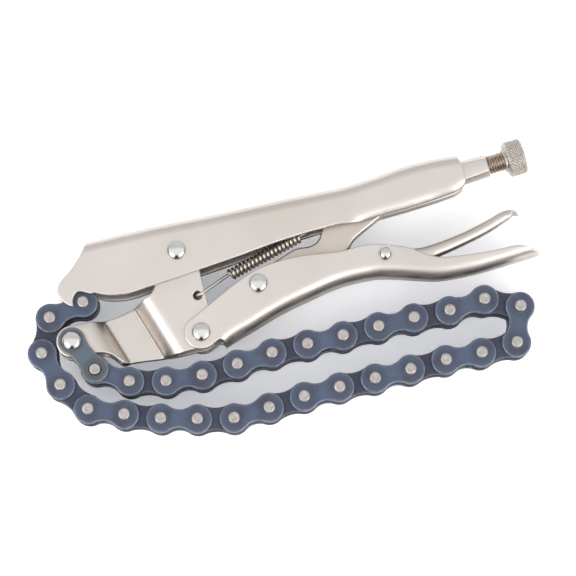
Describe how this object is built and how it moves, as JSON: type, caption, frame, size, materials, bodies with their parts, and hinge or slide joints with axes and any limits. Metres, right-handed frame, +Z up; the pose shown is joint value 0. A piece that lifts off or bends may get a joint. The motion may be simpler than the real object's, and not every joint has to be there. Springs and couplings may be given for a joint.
{
  "type": "chain clamp",
  "caption": "Locking plier with a roller chain riveted to its lower jaw, which loops round a pipe and hooks back on the fixed handle; a rear screw sets the grip.",
  "frame": {"origin": "centre of the bounding box's bottom face, with the tool lying on its side", "axes": "+X from the jaw to the adjusting knob, along the screw; +Y from the chain to the fixed handle; +Z up, along every rivet and chain pin"},
  "size_m": [0.2338, 0.1018, 0.0286],
  "materials": {
    "satin_nickel": "satin nickel plate on pressed sheet steel",
    "screw_nickel": "plated steel screw with a knurled knob",
    "bright_rivet": "bright domed rivet",
    "spring_wire": "drawn spring wire",
    "blued_plate": "blued chain plate with pale pin ends",
    "dark_plate": "dark oiled steel plate and rollers"
  },
  "bodies": {
    "fixed_handle": {"fixed_handle": "satin_nickel", "threaded_sleeve": "satin_nickel", "main_pivot_rivet": "bright_rivet", "return_spring": "spring_wire"},
    "adjusting_screw": {"adjusting_screw": "screw_nickel"},
    "lower_jaw": {"lower_jaw": "satin_nickel", "anchor_rivet": "bright_rivet"},
    "lower_handle": {"lower_handle": "satin_nickel", "handle_rivet": "bright_rivet", "toggle_rivet": "bright_rivet", "lever_rivet": "bright_rivet"},
    "toggle_link": {"toggle_link": "satin_nickel"},
    "release_lever": {"release_lever": "satin_nickel"},
    "anchor_link": {"anchor_plate_top": "blued_plate", "anchor_plate_bottom": "blued_plate", "chain_link_01": "blued_plate", "chain_link_02": "dark_plate"},
    "chain_link_03": {"chain_link_03": "blued_plate", "chain_link_04": "dark_plate", "chain_link_05": "blued_plate", "chain_link_06": "dark_plate", "chain_link_07": "blued_plate", "chain_link_08": "dark_plate"},
    "chain_link_09": {"chain_link_09": "blued_plate", "chain_link_10": "dark_plate", "chain_link_11": "blued_plate", "chain_link_12": "dark_plate", "chain_link_13": "blued_plate", "chain_link_14": "dark_plate"},
    "chain_link_15": {"chain_link_15": "blued_plate", "chain_link_16": "dark_plate", "chain_link_17": "blued_plate", "chain_link_18": "dark_plate", "chain_link_19": "blued_plate", "chain_link_20": "dark_plate"},
    "chain_link_21": {"chain_link_21": "blued_plate", "chain_link_22": "dark_plate", "chain_link_23": "blued_plate", "chain_link_24": "dark_plate"},
    "chain_link_25": {"chain_link_25": "blued_plate"},
    "chain_link_26": {"chain_link_26": "dark_plate"},
    "chain_link_27": {"chain_link_27": "blued_plate"},
    "chain_link_28": {"chain_link_28": "dark_plate"},
    "chain_link_29": {"chain_link_29": "blued_plate"}
  },
  "joints": [
    {"name": "jaw_open", "type": "hinge", "parent": "fixed_handle", "child": "lower_jaw", "pos_m": [-0.0416, 0.0358, 0.0143], "axis": [0, 0, 1], "range_deg": [0, 25], "deforming": ["return_spring"]},
    {"name": "lower_handle_swing", "type": "hinge", "parent": "lower_jaw", "child": "lower_handle", "pos_m": [-0.0413, -0.0015, 0.0143], "axis": [0, 0, 1], "range_deg": [-77, 0]},
    {"name": "toggle_swing", "type": "hinge", "parent": "lower_handle", "child": "toggle_link", "pos_m": [-0.0115, 0.0119, 0.0143], "axis": [0, 0, 1], "range_deg": [0, 76]},
    {"name": "release_lever_press", "type": "hinge", "parent": "lower_handle", "child": "release_lever", "pos_m": [0.0453, 0.0089, 0.0143], "axis": [0, 0, 1], "range_deg": [-8, 0]},
    {"name": "screw_travel", "type": "slide", "parent": "fixed_handle", "child": "adjusting_screw", "axis": [1, 0, 0], "range_m": [-0.001, 0.012]},
    {"name": "anchor_link_hinge", "type": "hinge", "parent": "lower_jaw", "child": "anchor_link", "pos_m": [-0.0962, 0.0108, 0.0143], "axis": [0, 0, 1], "range_deg": [-37, 0]},
    {"name": "chain_link_03_hinge", "type": "hinge", "parent": "anchor_link", "child": "chain_link_03", "pos_m": [-0.06181, -0.01741, 0.0143], "axis": [0, 0, 1], "range_deg": [-21, 0]},
    {"name": "chain_link_09_hinge", "type": "hinge", "parent": "chain_link_03", "child": "chain_link_09", "pos_m": [0.03326, -0.02073, 0.0143], "axis": [0, 0, 1], "range_deg": [-6, 0]},
    {"name": "chain_link_15_hinge", "type": "hinge", "parent": "chain_link_09", "child": "chain_link_15", "pos_m": [0.07294, -0.04425, 0.0143], "axis": [0, 0, 1], "range_deg": [0, 5]},
    {"name": "chain_link_21_hinge", "type": "hinge", "parent": "chain_link_15", "child": "chain_link_21", "pos_m": [-0.02221, -0.04106, 0.0143], "axis": [0, 0, 1], "range_deg": [0, 5]},
    {"name": "chain_link_25_hinge", "type": "hinge", "parent": "chain_link_21", "child": "chain_link_25", "pos_m": [-0.08323, -0.0261, 0.0143], "axis": [0, 0, 1], "range_deg": [0, 8]},
    {"name": "chain_link_26_hinge", "type": "hinge", "parent": "chain_link_25", "child": "chain_link_26", "pos_m": [-0.09761, -0.01939, 0.0143], "axis": [0, 0, 1], "range_deg": [0, 9]},
    {"name": "chain_link_27_hinge", "type": "hinge", "parent": "chain_link_26", "child": "chain_link_27", "pos_m": [-0.10615, -0.00601, 0.0143], "axis": [0, 0, 1], "range_deg": [0, 6]},
    {"name": "chain_link_28_hinge", "type": "hinge", "parent": "chain_link_27", "child": "chain_link_28", "pos_m": [-0.11012, 0.00936, 0.0143], "axis": [0, 0, 1], "range_deg": [0, 10]},
    {"name": "chain_link_29_hinge", "type": "hinge", "parent": "chain_link_28", "child": "chain_link_29", "pos_m": [-0.10254, 0.02331, 0.0143], "axis": [0, 0, 1], "range_deg": [-4, 0]}
  ],
  "couplings": [
    {"joint": "lower_handle_swing", "follows": "jaw_open", "ratio": -3.05},
    {"joint": "toggle_swing", "follows": "jaw_open", "ratio": 3.02},
    {"joint": "anchor_link_hinge", "follows": "jaw_open", "ratio": -1.46},
    {"joint": "chain_link_03_hinge", "follows": "jaw_open", "ratio": -0.82},
    {"joint": "chain_link_09_hinge", "follows": "jaw_open", "ratio": -0.23},
    {"joint": "chain_link_15_hinge", "follows": "jaw_open", "ratio": 0.17},
    {"joint": "chain_link_21_hinge", "follows": "jaw_open", "ratio": 0.17},
    {"joint": "chain_link_25_hinge", "follows": "jaw_open", "ratio": 0.29},
    {"joint": "chain_link_26_hinge", "follows": "jaw_open", "ratio": 0.35},
    {"joint": "chain_link_27_hinge", "follows": "jaw_open", "ratio": 0.23},
    {"joint": "chain_link_28_hinge", "follows": "jaw_open", "ratio": 0.39},
    {"joint": "chain_link_29_hinge", "follows": "jaw_open", "ratio": -0.16}
  ]
}
